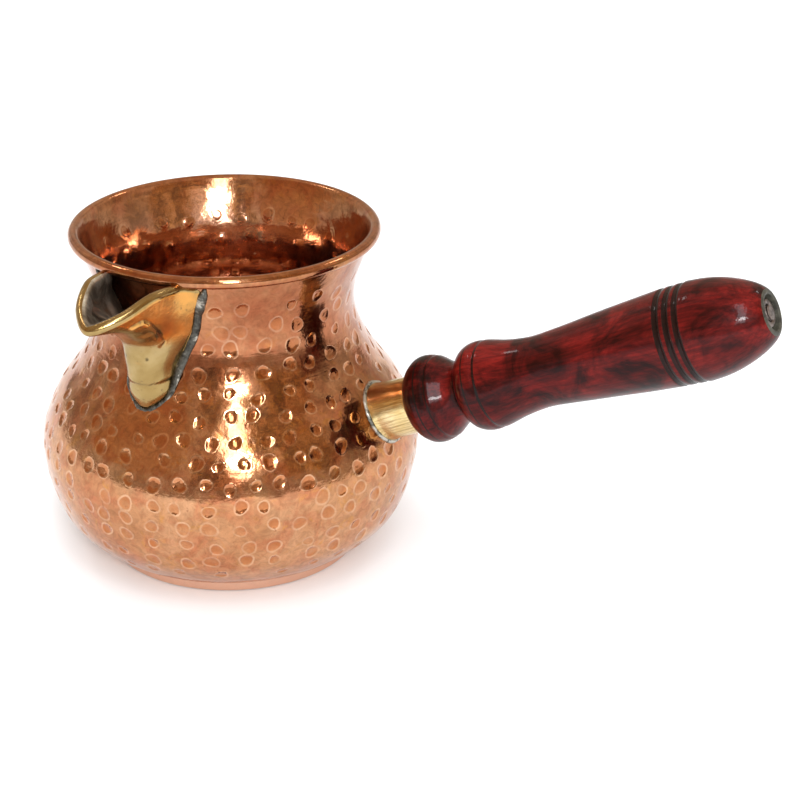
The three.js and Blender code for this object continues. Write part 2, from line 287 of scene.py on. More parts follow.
class Shader:
    """A material's node tree, with short ways to add and join nodes."""

    def __init__(self, name, metallic, roughness):
        self.material = bpy.data.materials.new(name)
        self.material.use_nodes = True
        self.tree = self.material.node_tree
        self.bsdf = self.tree.nodes["Principled BSDF"]
        self.bsdf.inputs["Metallic"].default_value = metallic
        self.bsdf.inputs["Roughness"].default_value = roughness
        self.coords = self.add("ShaderNodeTexCoord").outputs["Object"]

    def add(self, kind, **settings):
        node = self.tree.nodes.new(kind)
        for key, value in settings.items():
            setattr(node, key, value)
        return node

    def join(self, output, socket):
        self.tree.links.new(output, socket)

    def noise(self, scale, detail=2.0, roughness=0.5, distortion=0.0, coords=None):
        node = self.add("ShaderNodeTexNoise")
        node.inputs["Scale"].default_value = scale
        node.inputs["Detail"].default_value = detail
        node.inputs["Roughness"].default_value = roughness
        node.inputs["Distortion"].default_value = distortion
        self.join(coords or self.coords, node.inputs["Vector"])
        return node.outputs["Fac"]

    def stretched(self, scale, along_handle=False):
        """Coordinates multiplied by scale, in the handle's own frame if asked (its axis is then z)."""
        node = self.add("ShaderNodeMapping", vector_type="TEXTURE")
        node.inputs["Scale"].default_value = tuple(1 / k for k in scale)
        if along_handle:
            node.inputs["Location"].default_value = (0, 0, HANDLE_HEIGHT * MM)
            node.inputs["Rotation"].default_value = (0, math.pi / 2 - HANDLE_RISE, 0)
        self.join(self.coords, node.inputs["Vector"])
        return node.outputs["Vector"]

    def height(self, low, high):
        """0 at one height above the floor and 1 at another, in metres."""
        split = self.add("ShaderNodeSeparateXYZ")
        self.join(self.coords, split.inputs["Vector"])
        node = self.add("ShaderNodeMapRange")
        node.inputs["From Min"].default_value = low
        node.inputs["From Max"].default_value = high
        self.join(split.outputs["Z"], node.inputs["Value"])
        return node.outputs["Result"]

    def attribute(self, name):
        return self.add("ShaderNodeAttribute", attribute_name=name).outputs["Fac"]

    def ramp(self, factor, stops):
        """stops are (position, colour), colour a grey or an RGB triple."""
        node = self.add("ShaderNodeValToRGB")
        elements = node.color_ramp.elements
        while len(elements) < len(stops):
            elements.new(0.5)
        for element, (position, colour) in zip(elements, stops):
            element.position = position
            rgb = colour if isinstance(colour, tuple) else (colour,) * 3
            element.color = (*rgb, 1)
        self.join(factor, node.inputs["Fac"])
        return node.outputs["Color"]

    def mix(self, factor, a, b, blend="MIX"):
        node = self.add("ShaderNodeMix", data_type="RGBA", blend_type=blend)
        for socket, value in ((0, factor), (6, a), (7, b)):
            if isinstance(value, bpy.types.NodeSocket):
                self.join(value, node.inputs[socket])
            elif isinstance(value, tuple):
                node.inputs[socket].default_value = (*value, 1)
            else:
                node.inputs[socket].default_value = value
        return node.outputs[2]

    def range(self, value, low, high):
        node = self.add("ShaderNodeMapRange")
        node.inputs["To Min"].default_value = low
        node.inputs["To Max"].default_value = high
        self.join(value, node.inputs["Value"])
        return node.outputs["Result"]

    def bump(self, height, strength, distance, normal=None):
        node = self.add("ShaderNodeBump")
        node.inputs["Strength"].default_value = strength
        node.inputs["Distance"].default_value = distance
        self.join(height, node.inputs["Height"])
        if normal is not None:
            self.join(normal, node.inputs["Normal"])
        return node.outputs["Normal"]

    def finish(self, colour=None, roughness=None, normal=None):
        if colour is not None:
            self.join(colour, self.bsdf.inputs["Base Color"])
        if roughness is not None:
            self.join(roughness, self.bsdf.inputs["Roughness"])
        if normal is not None:
            self.join(normal, self.bsdf.inputs["Normal"])
        return self.material


def copper_material():
    """Bare copper, hand polished: pink and amber tarnish, a pale ring of painted highlight at the edge of
    each hammer mark and a darker floor to each, redder on the neck, paler deeper inside as painted
    reflected light, and a pale band of painted reflection just above the foot."""
    s = Shader("hammered_copper", 1.0, 0.14)
    cloud = s.noise(34, 4, 0.62, 0.6)
    colour = s.ramp(cloud, [(0.28, (0.43, 0.18, 0.08)), (0.5, (0.54, 0.26, 0.125)), (0.72, (0.63, 0.34, 0.185))])
    patches = s.ramp(s.noise(95, 4, 0.65, 1.0), [(0.46, 0.0), (0.66, 0.7)])
    colour = s.mix(patches, colour, (0.49, 0.16, 0.075))
    amber = s.ramp(s.noise(150, 4, 0.65, 1.4), [(0.56, 0.0), (0.7, 0.65)])
    colour = s.mix(amber, colour, (0.60, 0.27, 0.07))
    neck = s.ramp(s.height(0.045, 0.095), [(0.2, 0.0), (0.45, 0.8), (0.85, 0.8), (1.0, 0.35)])
    neck = s.mix(1.0, neck, s.ramp(s.noise(60, 4, 0.65, 0.8), [(0.34, 0.45), (0.58, 1.0)]), "MULTIPLY")
    neck = s.mix(1.0, neck, s.ramp(s.attribute("inside"), [(0.0, 1.0), (0.05, 0.25)]), "MULTIPLY")
    colour = s.mix(neck, colour, (0.33, 0.10, 0.045))
    # Paler colour deeper inside the pot: painted reflected light on the inner wall.
    colour = s.mix(s.ramp(s.attribute("inside"), [(0.0, 0.0), (1.0, 0.6)]), colour, (0.86, 0.55, 0.41))
    smudge = s.ramp(s.noise(420, 5, 0.7, 0.8), [(0.36, 0.72), (0.6, 1.0)])
    colour = s.mix(1.0, colour, smudge, "MULTIPLY")
    # A pale pinkish band just above the foot: painted reflection of the floor.
    colour = s.mix(s.ramp(s.height(0.0, 0.008), [(0.45, 0.75), (0.8, 0.0)]), colour, (0.88, 0.58, 0.44))
    mark, depth = s.attribute("mark"), s.attribute("mark_depth")
    uneven = s.ramp(s.noise(240, 2, 0.5), [(0.35, 0.3), (0.6, 1.0)])
    depth = s.mix(1.0, depth, uneven, "MULTIPLY")
    # A pale ring round the edge of each hammer mark: a painted highlight, also used as a small bump.
    ring = s.ramp(mark, [(0.40, 0.0), (0.47, 0.5), (0.52, 0.5), (0.59, 0.0)])
    colour = s.mix(s.mix(1.0, ring, depth, "MULTIPLY"), colour, (0.80, 0.50, 0.32))
    hollow = s.ramp(mark, [(0.37, 0.75), (0.45, 0.0)])
    colour = s.mix(s.mix(1.0, hollow, depth, "MULTIPLY"), colour, (0.45, 0.15, 0.05))
    specks = s.ramp(s.noise(520, 3, 0.65), [(0.66, 0.0), (0.75, 0.6)])
    colour = s.mix(specks, colour, (0.22, 0.08, 0.04))
    roughness = s.range(s.noise(110, 4, 0.65), 0.06, 0.22)
    brushed = s.noise(1, 3, 0.6, coords=s.stretched((700, 700, 5200)))
    normal = s.bump(brushed, 0.08, 0.00004)
    rings = s.noise(1, 2, 0.6, coords=s.stretched((12, 12, 620)))
    normal = s.bump(rings, 0.25, 0.00012, normal)
    normal = s.bump(s.noise(140, 3, 0.6), 0.4, 0.0004, normal)
    normal = s.bump(s.noise(330, 4, 0.6), 0.3, 0.00018, normal)
    normal = s.bump(ring, 0.5, 0.00008, normal)
    return s.finish(colour, roughness, normal)


def brass_material():
    """Polished cast brass: pale gold, a little pitted, orange where the sides flare out as a painted
    reflection of the copper, and near black painted shade in its creases, along the fold and at small pits.
    """
    s = Shader("cast_brass", 1.0, 0.16)
    cloud = s.noise(120, 4, 0.6, 0.5)
    colour = s.ramp(cloud, [(0.3, (0.28, 0.18, 0.062)), (0.52, (0.355, 0.245, 0.098)), (0.75, (0.44, 0.32, 0.15))])
    warm = s.ramp(s.noise(80, 3, 0.6, 0.8), [(0.56, 0.0), (0.72, 0.6)])
    colour = s.mix(warm, colour, (0.47, 0.21, 0.06))
    # Orange on the flared sides: a painted reflection of the copper body.
    flare = s.mix(1.0, s.attribute("flare"), s.ramp(s.noise(210, 4, 0.65, 0.6), [(0.36, 0.45), (0.6, 1.0)]),
                  "MULTIPLY")
    colour = s.mix(flare, colour, (0.70, 0.34, 0.09))
    # Near black in the creases, along the fold under the lip and at small pits: painted shade.
    crease_shade = s.ramp(s.attribute("crease"), [(0.15, 0.0), (0.85, 0.9)])
    colour = s.mix(crease_shade, colour, (0.05, 0.035, 0.02))
    pits = s.ramp(s.noise(900, 2, 0.5), [(0.66, 0.0), (0.74, 0.7)])
    colour = s.mix(pits, colour, (0.16, 0.10, 0.05))
    roughness = s.range(s.noise(300, 4, 0.6), 0.1, 0.28)
    normal = s.bump(s.noise(420, 4, 0.6), 0.35, 0.0002)
    return s.finish(colour, roughness, normal)


def turned_brass_material():
    """Drawn brass tube, with polishing streaks along it."""
    s = Shader("turned_brass", 1.0, 0.18)
    cloud = s.noise(170, 3, 0.6)
    colour = s.ramp(cloud, [(0.3, (0.66, 0.48, 0.19)), (0.6, (0.80, 0.65, 0.36)), (0.8, (0.84, 0.72, 0.47))])
    streak = s.noise(1, 3, 0.7, coords=s.stretched((2600, 2600, 90), True))
    colour = s.mix(s.ramp(streak, [(0.46, 0.0), (0.66, 0.75)]), colour, (0.33, 0.20, 0.06))
    warm = s.ramp(s.noise(260, 4, 0.65), [(0.5, 0.0), (0.7, 0.5)])
    colour = s.mix(warm, colour, (0.66, 0.36, 0.12))
    roughness = s.range(streak, 0.1, 0.34)
    normal = s.bump(streak, 0.35, 0.00007)
    return s.finish(colour, roughness, normal)


def tarnish_material():
    """The spout's inside: dark, dull and blotchy."""
    s = Shader("tarnished_brass", 0.9, 0.42)
    cloud = s.noise(130, 5, 0.65, 0.8)
    colour = s.ramp(cloud, [(0.34, (0.09, 0.07, 0.05)), (0.5, (0.28, 0.24, 0.18)), (0.64, (0.62, 0.58, 0.48))])
    roughness = s.range(s.noise(400, 4, 0.6), 0.25, 0.55)
    normal = s.bump(s.noise(800, 4, 0.6), 0.3, 0.0002)
    return s.finish(colour, roughness, normal)


def solder_material(name, worn):
    """Soft solder: dark grey, with bright worn spots over more of it the lower worn is."""
    s = Shader(name, 1.0, 0.4)
    cloud = s.noise(420, 4, 0.65, 0.5)
    colour = s.ramp(cloud, [(worn - 0.33, (0.035, 0.033, 0.028)), (worn - 0.12, (0.12, 0.115, 0.10)),
                            (worn, (0.5, 0.48, 0.42))])
    roughness = s.range(s.noise(900, 3, 0.6), 0.2, 0.55)
    normal = s.bump(s.noise(1300, 3, 0.6), 0.6, 0.0003)
    return s.finish(colour, roughness, normal)


def steel_material():
    """Dull plated steel with brown stains."""
    s = Shader("steel", 1.0, 0.4)
    cloud = s.noise(500, 4, 0.6)
    colour = s.ramp(cloud, [(0.35, (0.10, 0.075, 0.065)), (0.6, (0.27, 0.22, 0.20)), (0.8, (0.42, 0.37, 0.35))])
    roughness = s.range(s.noise(900, 3, 0.6), 0.3, 0.55)
    normal = s.bump(s.noise(2000, 2, 0.5), 0.2, 0.0001)
    return s.finish(colour, roughness, normal)


def wood_material(name, groove_shade):
    """Cherry red lacquer over turned hardwood; the second argument is how far the colour goes towards
    black, which on the grooves is painted shade.
    """
    s = Shader(name, 0.0, 0.35)
    grain = s.noise(1, 5, 0.62, 1.2, coords=s.stretched((140, 140, 30), True))
    red = s.ramp(grain, [(0.3, (0.03, 0.002, 0.002)), (0.5, (0.11, 0.004, 0.003)), (0.7, (0.20, 0.009, 0.006))])
    blotch = s.ramp(s.noise(75, 4, 0.65, 1.1), [(0.38, 0.2), (0.6, 1.0)])
    colour = s.mix(1.0, red, blotch, "MULTIPLY")
    fibre = s.noise(1, 3, 0.6, coords=s.stretched((1400, 1400, 55), True))
    colour = s.mix(1.0, colour, s.ramp(fibre, [(0.38, 0.6), (0.6, 1.0)]), "MULTIPLY")
    # The darkening towards black is painted shade where this wood is a groove.
    colour = s.mix(groove_shade, colour, (0.006, 0.004, 0.003))
    s.bsdf.inputs["Coat Weight"].default_value = 0.35
    s.bsdf.inputs["Coat Roughness"].default_value = 0.08
    s.bsdf.inputs["Coat IOR"].default_value = 1.36
    s.bsdf.inputs["Specular IOR Level"].default_value = 0.06
    roughness = s.range(grain, 0.3, 0.5)
    normal = s.bump(s.noise(240, 3, 0.6), 0.25, 0.0004)
    s.join(normal, s.bsdf.inputs["Coat Normal"])
    return s.finish(colour, roughness, normal)


def end_grain_material():
    """Bare, soiled end grain round the nut."""
    s = Shader("end_grain", 0.0, 0.6)
    cloud = s.noise(500, 4, 0.6)
    colour = s.ramp(cloud, [(0.35, (0.02, 0.018, 0.012)), (0.6, (0.06, 0.056, 0.038)), (0.8, (0.12, 0.10, 0.075))])
    normal = s.bump(s.noise(1200, 3, 0.6), 0.5, 0.0003)
    return s.finish(colour, s.range(cloud, 0.4, 0.7), normal)


def floor_material():
    """Plain white studio floor with the faintest paper tooth."""
    s = Shader("floor", 0.0, 0.7)
    s.bsdf.inputs["Specular IOR Level"].default_value = 0.1
    tone = s.range(s.noise(40, 2, 0.5), 0.93, 0.95)
    return s.finish(s.mix(1.0, (1, 1, 1), tone, "MULTIPLY"))


# ---- The pot ----

def hammer_marks():
    """The hammer marks, row by row: angle and distance up the wall of the middle, radius, depth, and
    the two turns that make the outline uneven."""
    draw = np.random.default_rng(HAMMER_SEED)
    marks = []
    top = np.interp(HAMMER_TOP, WALL_FINE[:, 1], WALL_LENGTH)
    for row, s in enumerate(np.arange(top, 6, -HAMMER_ROW)):
        radius, height, _, _ = wall_at(s)
        pitch = np.interp(height, [8, 30, 45, 80], [8.9, 7.8, 6.9, 7.8])
        count = int(round(2 * math.pi * float(radius) / pitch))
        phase = draw.uniform(0, 1) * 0.4 + 0.5 * (row % 2)
        shallow = float(np.interp(height, [58, 70, 84], [1.0, 0.7, 0.6]))
        for k in range(count):
            angle = 2 * math.pi * (k + phase + draw.uniform(-0.2, 0.2)) / count
            up = s + draw.uniform(-1.1, 1.1)
            size = HAMMER_RADIUS * draw.uniform(0.8, 1.15)
            depth = HAMMER_DEPTH * draw.uniform(0.6, 1.15) * shallow
            missed = draw.uniform() < 0.07
            oval = draw.uniform(0, 2 * math.pi, 2)
            if not missed:
                marks.append((angle, up, size, depth, oval))
    return marks


def wobble(theta, s):
    """Slow unevenness of the beaten sheet, in millimetres, and its slopes along theta and s."""
    waves = [(7, 0.11, 0.3, 0.035), (11, -0.23, 1.9, 0.03), (17, 0.37, 4.0, 0.022), (23, -0.55, 2.6, 0.016),
             (31, 0.62, 0.9, 0.012), (5, 0.31, 5.1, 0.03), (13, 0.8, 3.3, 0.012)]
    height = np.zeros_like(theta)
    by_theta = np.zeros_like(theta)
    by_s = np.zeros_like(theta)
    for turns, climb, phase, size in waves:
        angle = turns * theta + climb * s + phase
        height += size * np.sin(angle)
        by_theta += size * turns * np.cos(angle)
        by_s += size * climb * np.cos(angle)
    return height, by_theta, by_s


def mark_outline(a, b, oval):
    """How much wider than its radius a mark is on the way (a, b) from its middle."""
    way = np.arctan2(b, a)
    return 1 + 0.09 * np.sin(2 * way + oval[0]) + 0.06 * np.sin(3 * way + oval[1])


def snap_to_marks(theta, s, radius, marks, reach):
    """Moves the grid points nearest the steepest ring of each mark onto it, so that it looks round."""
    steepest = (MARK_FLOOR + MARK_EDGE) / 2
    for angle, centre, size, _, oval in marks:
        dt = (theta - angle + math.pi) % (2 * math.pi) - math.pi
        near = np.nonzero((np.abs(dt * radius) < size + 1) & (np.abs(s - centre) < size + 1))
        a, b = dt[near] * radius[near], s[near] - centre
        distance = np.maximum(np.hypot(a, b), 1e-6)
        ring = steepest * size * mark_outline(a, b, oval)
        close = np.abs(distance - ring) < reach
        scale = np.where(close, ring / distance, 1)
        theta[near] += a * (scale - 1) / radius[near]
        s[near] += b * (scale - 1)


def dented(theta, s, radius, marks):
    """Height of the marks, its slopes along theta and s, the distance from the nearest mark's middle
    (1/2 at its edge, 1 when far) and how deep that mark is."""
    height, slope_t, slope_s, strength = (np.zeros_like(theta) for _ in range(4))
    nearest = np.ones_like(theta)
    for angle, centre, size, depth, oval in marks:
        dt = (theta - angle + math.pi) % (2 * math.pi) - math.pi
        near = np.nonzero((np.abs(dt * radius) < 2 * size) & (np.abs(s - centre) < 2 * size))
        if not len(near[0]):
            continue
        a, b = dt[near] * radius[near], s[near] - centre
        distance = np.maximum(np.hypot(a, b), 1e-6)
        x = distance / (size * mark_outline(a, b, oval))
        share = np.clip((x - MARK_FLOOR) / (MARK_EDGE - MARK_FLOOR), 0, 1)
        pit = -depth * (1 - share ** 2 * (3 - 2 * share))
        pit_slope = depth * 6 * share * (1 - share) / ((MARK_EDGE - MARK_FLOOR) * size)
        deeper = pit < height[near]
        keep = tuple(n[deeper] for n in near)
        height[keep] = pit[deeper]
        slope_t[keep] = (pit_slope * a / distance)[deeper]
        slope_s[keep] = (pit_slope * b / distance)[deeper]
        closer = x / 2 < nearest[near]
        keep = tuple(n[closer] for n in near)
        nearest[keep] = x[closer] / 2
        strength[keep] = min(1.0, depth / HAMMER_DEPTH)
    return height, slope_t, slope_s, nearest, strength


def pour_distance(theta, z, radius):
    """Signed distance to the edge of the pour opening on the wall: below zero inside it."""
    across = ((theta - SPOUT_TURN + math.pi) % (2 * math.pi) - math.pi) * radius
    low, high = POUR_LOW + POUR_HALF_WIDTH, POUR_HIGH - POUR_HALF_WIDTH
    up = z - np.clip(z, low, high)
    front = np.abs(across) < 20
    return np.where(front, np.hypot(across, up) - POUR_HALF_WIDTH, 50), across, up


def copper_pot():
    """The whole copper shell as one closed mesh: foot, hammered wall, rolled edge, inside."""
    columns = 408
    angles = np.arange(columns) * 2 * math.pi / columns
    marks = hammer_marks()

    outer_s = np.linspace(0, WALL_LENGTH[-1], 143)
    heights = wall_at(outer_s)[1]
    inner_rows = [i for i in range(len(outer_s)) if heights[i] > 68 or i % 8 == 0]

    foot = np.vstack([
        [(12, 0), (26, 0), (FOOT_RADIUS - 1.1, 0)],
        arc((FOOT_RADIUS - 0.6, 0.6), 0.6, -math.pi / 2, 0, 3),
        [(FOOT_RADIUS, 1.4), (FOOT_RADIUS, 2.4)],
        arc((FOOT_RADIUS + 0.6, 2.5), 0.6, math.pi, math.pi / 2, 3),
        [(FOOT_RADIUS + 1.4, 3.3), (FOOT_RADIUS + 2.7, 3.95)],
    ])
    roll_in = arc(ROLL_CENTRE, ROLL - SHEET, math.pi, ROLL_END, 6)
    roll_out = arc(ROLL_CENTRE, ROLL, ROLL_END, math.pi, 12)
    floor_in = np.array([(37.4, 4.6), (35.8, 4.1), (34.8, 3.4), (34.5, 2.2), (34.1, 1.2), (33.3, SHEET),
                         (22, SHEET), (10, SHEET)])

    def plain(points, inside=0.0):
        theta = np.broadcast_to(angles, (len(points), columns))
        normals = profile_normals(points)
        x, y = np.cos(theta), np.sin(theta)
        r, z = points[:, 0][:, None], points[:, 1][:, None]
        nr, nz = normals[:, 0][:, None], normals[:, 1][:, None]
        vertices = np.stack([r * x, r * y, np.broadcast_to(z, x.shape)], -1)
        normals = np.stack([nr * x, nr * y, np.broadcast_to(nz, x.shape)], -1)
        return vertices, normals, np.ones_like(x), np.zeros_like(x), np.full_like(x, inside)

    theta, s = np.meshgrid(angles, outer_s)
    theta, s = theta.copy(), s.copy()
    radius = wall_at(s)[0]
    snap_to_marks(theta, s, radius, marks, 0.36)
    s[0], s[-1] = outer_s[0], outer_s[-1]

    # The pour opening: faces whose middle lies in it go, and the vertices round it move to its edge.
    r, z, _, _ = wall_at(s)
    distance, across, up = pour_distance(theta, z, r)
    middle = (distance[:-1] + distance[1:]) / 2
    middle = (middle + np.roll(middle, -1, axis=1)) / 2
    gone = middle < 0
    touched = np.zeros(distance.shape, int)
    for rows, cols in ((0, 0), (1, 0), (0, 1), (1, 1)):
        shifted = np.roll(gone, cols, axis=1)
        touched[rows:rows + gone.shape[0]] += shifted
    border = (touched > 0) & (touched < 4)
    span = np.maximum(np.hypot(across, up), 1e-6)
    shift = (POUR_HALF_WIDTH - span) / span
    theta[border] += (across * shift / r)[border]
    s[border] += (up * shift)[border]

    def wall_surface(theta, s, inside):
        r, z, nr, nz = wall_at(s)
        fade = smoothstep(0, 3, s) * smoothstep(0, 2.5, WALL_LENGTH[-1] - s)
        fade *= smoothstep(0, 2, pour_distance(theta, z, r)[0])
        mark, mark_t, mark_s, nearest, deep = dented(theta, s, r, marks)
        slow, slow_t, slow_s = wobble(theta, s)
        strength = INNER_MARKS if inside else 1.0
        height = (mark * strength + slow) * fade
        slope_t = (mark_t * strength + slow_t / r) * fade
        slope_s = (mark_s * strength + slow_s) * fade
        x, y = np.cos(theta), np.sin(theta)
        out = np.stack([nr * x, nr * y, nz], -1)
        along = np.stack([-nz * x, -nz * y, nr], -1)
        round_ = np.stack([-y, x, np.zeros_like(x)], -1)
        lift = height - (SHEET if inside else 0)
        vertices = np.stack([r * x, r * y, z], -1) + out * lift[..., None]
        normals = unit(out - slope_t[..., None] * round_ - slope_s[..., None] * along)
        # How far down the inside a point is; the copper material paints reflected light by it.
        depth = smoothstep(93, 74, z) if inside else np.zeros_like(z)
        return vertices, -normals if inside else normals, nearest, deep * fade, depth

    outer = wall_surface(theta, s, False)
    inner = tuple(a[::-1] for a in wall_surface(theta[inner_rows], s[inner_rows], True))
    parts = [plain(foot), outer, plain(roll_in[1:]), plain(roll_out[:-1]), inner, plain(floor_in, 1.0)]
    vertices, normals = (np.concatenate([p[k].reshape(-1, 3) for p in parts]) for k in (0, 1))
    nearest, deep, inside = (np.concatenate([p[k].ravel() for p in parts]) for k in (2, 3, 4))
    starts = np.concatenate([[0], np.cumsum([len(p[0]) for p in parts])])
    outer_start, inner_start = starts[1], starts[4]
    rows = starts[-1]

    inner_row_of = {row: inner_start + len(inner_rows) - 1 - k for k, row in enumerate(inner_rows)}
    gone_rows = {}
    for row in range(gone.shape[0]):
        if gone[row].any():
            gone_rows[outer_start + row] = gone[row]
            gone_rows[inner_row_of[row + 1]] = gone[row]

    faces = []
    for i in range(rows - 1):
        skip = gone_rows.get(i)
        for j in range(columns):
            if skip is None or not skip[j]:
                k = (j + 1) % columns
                faces.append((i * columns + j, i * columns + k, (i + 1) * columns + k, (i + 1) * columns + j))

    def at(row, column, inside):
        return (inner_row_of[row] if inside else outer_start + row) * columns + column % columns

    for row, column in zip(*np.nonzero(gone)):
        neighbours = [(-1, 0, (row, column), (row, column + 1)), (1, 0, (row + 1, column + 1), (row + 1, column)),
                      (0, -1, (row + 1, column), (row, column)), (0, 1, (row, column + 1), (row + 1, column + 1))]
        for down, side, a, b in neighbours:
            if not gone[row + down, (column + side) % columns]:
                faces.append((at(*b, False), at(*a, False), at(*a, True), at(*b, True)))

    bottom, inside_bottom = len(vertices), len(vertices) + 1
    vertices = np.vstack([vertices, [(0, 0, 0), (0, 0, SHEET)]])
    normals = np.vstack([normals, [(0, 0, -1), (0, 0, 1)]])
    last = (rows - 1) * columns
    for j in range(columns):
        k = (j + 1) % columns
        faces.append((bottom, k, j))
        faces.append((inside_bottom, last + j, last + k))
    attributes = {
        "mark": np.append(nearest, [1, 1]),
        "mark_depth": np.append(deep, [0, 0]),
        "inside": np.append(inside, [0, 1]),
    }
    return make_object("copper_pot", vertices, faces, MATERIALS["copper"], "pot_body", normals,
                       attributes=attributes)


def rim_wire():
    """The wire inside the rolled edge."""
    ring = arc(ROLL_CENTRE, RIM_WIRE, 0, -2 * math.pi, 12)[:-1]
    angles = np.linspace(0, 2 * math.pi, 192, endpoint=False)
    vertices = ring_points(ring, angles).reshape(-1, 3)
    faces = [f[::-1] for f in grid_faces(len(ring), len(angles), True, True)]
    return make_object("edge_wire", vertices, faces, MATERIALS["steel"], "rim_wire")


# ---- The spout ----

def spout_surface(up, around):
    """Points of the spout's outside, the spout along +X. up is 0 at the tail and 1 at the lip, around
    is 0 at the wall on one side, 1/2 at the nose and 1 at the wall on the other side."""
    up, around = np.broadcast_arrays(np.asarray(up, float), np.asarray(around, float))
    shape = up.shape
    flat_up, flat_around = up.ravel(), around.ravel()
    rails = np.stack([catmull(SECTIONS[:, k], flat_up) for k in range(SECTIONS.shape[1])])
    mirrored = rails[-2::-1] * np.array([1, -1, 1])
    across = np.concatenate([rails, mirrored])
    return catmull(across, flat_around).reshape(*shape, 3)


def spout_normals(up, around):
    nudge = 2e-3
    by_up = spout_surface(np.minimum(up + nudge, 1), around) - spout_surface(np.maximum(up - nudge, 0), around)
    by_around = spout_surface(up, around + nudge) - spout_surface(up, around - nudge)
    return unit(np.cross(by_up, by_around))


def crossing(values, places):
    """Where values first falls below zero going down from the last place."""
    below = np.nonzero(values < 0)[0]
    if not len(below):
        return places[0]
    k = below[-1]
    if k + 1 >= len(values):
        return places[-1]
    share = values[k] / (values[k] - values[k + 1])
    return places[k] + share * (places[k + 1] - places[k])


def spout_grid():
    """up and around for each point of a grid that runs from the seam on the pot up to the lip."""
    columns, rows = 181, 73
    places = np.linspace(0, 1, 400)
    edge = body_depth(spout_surface(1.0, np.linspace(0, 0.5, 400)))
    first = float(np.linspace(0, 0.5, 400)[np.nonzero(edge > 0.12)[0][0]])
    around = np.linspace(first, 1 - first, columns)
    seam = np.array([crossing(body_depth(spout_surface(places, a)) + 0.05, places) for a in around])
    share = np.linspace(0, 1, rows) ** 0.9
    up = seam[None] + (1 - seam[None]) * share[:, None]
    return up, np.broadcast_to(around, up.shape)


def distance_to_path(points, path):
    """Distance of points from a polyline, and the way from its nearest point to each of them."""
    best = np.full(points.shape[:-1], 1e9)
    way_off = np.zeros_like(points)
    for a, b in zip(path[:-1], path[1:]):
        way = b - a
        share = np.clip(((points - a) @ way) / (way @ way), 0, 1)
        off = points - a - share[..., None] * way
        size = np.linalg.norm(off, axis=-1)
        closer = size < best
        best = np.where(closer, size, best)
        way_off = np.where(closer[..., None], off, way_off)
    return best, way_off


def spout_relief(points):
    """How far the spout's outside stands out, how much painted shade its creases, fold and pits get, and
    how far it is on the flared sides, which get a painted reflection of the copper: a folded arch each
    side under the lip, round a hollow, and the step where the front panel's pointed tail starts."""
    side = points * np.array([1, 0, 1]) + np.abs(points) * np.array([0, 1, 0])
    away, off = distance_to_path(side, ARCH)
    outward = np.sum(off * unit(side - ARCH_MIDDLE), -1)
    ridge = 0.55 * np.exp(-(((outward + 0.8) / 0.9) ** 2)) * smoothstep(2.2, 0.8, away)
    groove = np.exp(-(((outward - 0.35) / 0.3) ** 2)) * smoothstep(1.2, 0.4, away)
    middle = np.linalg.norm((side - ARCH_MIDDLE) / np.array([3.2, 3, 2.2]), axis=-1)
    hollow = -0.5 * smoothstep(1.1, 0.3, middle)
    past_step = STEP_HEIGHT + 0.02 * points[..., 1] ** 2 - points[..., 2]
    on_panel = smoothstep(7.5, 6.0, side[..., 1])
    step = -0.4 * smoothstep(-0.4, 0.5, past_step) * smoothstep(4.5, 0.5, past_step) * on_panel
    # Masks for painted shade: the line at the step, the groove along the fold and the pits.
    crease = 0.7 * np.exp(-(((past_step - 0.1) / 0.28) ** 2)) * on_panel
    crease = np.maximum(crease, 0.8 * groove)
    for place in PITS:
        pit = np.exp(-((np.linalg.norm(side - np.array(place), axis=-1) / 0.5) ** 2))
        crease = np.maximum(crease, pit)
    # Mask for the painted reflection of the copper on the flared sides.
    flare = smoothstep(73.5, 77.5, side[..., 2]) * smoothstep(5.6, 7.2, side[..., 1])
    inside_fold = smoothstep(1.95, 1.6, middle)
    return ridge - 0.3 * groove + hollow + step, crease, flare * (1 - inside_fold)


